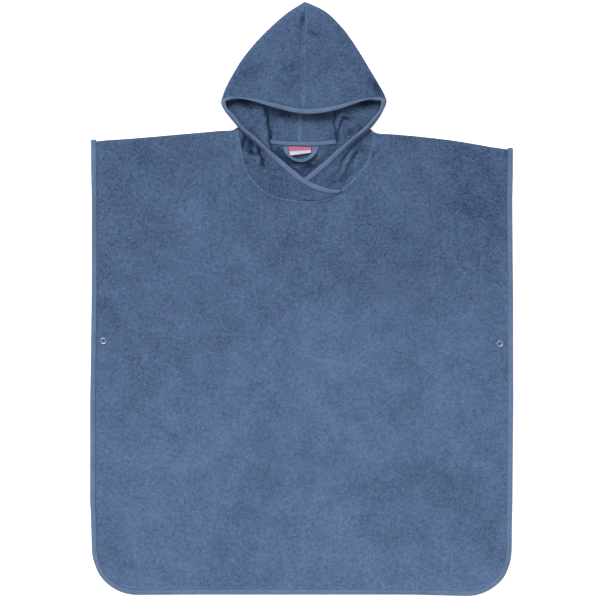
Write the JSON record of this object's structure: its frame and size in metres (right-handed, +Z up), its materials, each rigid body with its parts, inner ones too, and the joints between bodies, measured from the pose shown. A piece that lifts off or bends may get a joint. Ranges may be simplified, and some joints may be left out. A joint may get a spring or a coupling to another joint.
{
  "type": "hooded bath poncho",
  "caption": "Terry bath poncho laid flat, with a crossed collar, a hood, bound edges, side snaps and a hanger loop.",
  "frame": {"origin": "on the table under the middle of the whole laid garment", "axes": "+X to the garment's side that shows on the right, +Y towards the hood's point, +Z up from the table through the front panel"},
  "size_m": [0.6496, 0.9124, 0.023],
  "materials": {
    "terry": "looped cotton terry, matt, greyish blue",
    "tape": "fine ribbed jersey binding, matt, lighter blue",
    "snap_metal": "bright nickel ring snap",
    "label": "blank woven satin label"
  },
  "bodies": {
    "root": {"front_panel": "terry", "back_panel": "terry", "hood_left": "terry", "hood_right": "terry", "edge_binding": "tape", "hood_binding": "tape", "neck_tape": "tape", "hanger_loop": "tape", "neck_label": "label", "ring_front_left": "snap_metal", "socket_left": "snap_metal", "stud_left": "snap_metal", "ring_back_left": "snap_metal", "ring_front_right": "snap_metal", "socket_right": "snap_metal", "stud_right": "snap_metal", "ring_back_right": "snap_metal"}
  },
  "joints": []
}
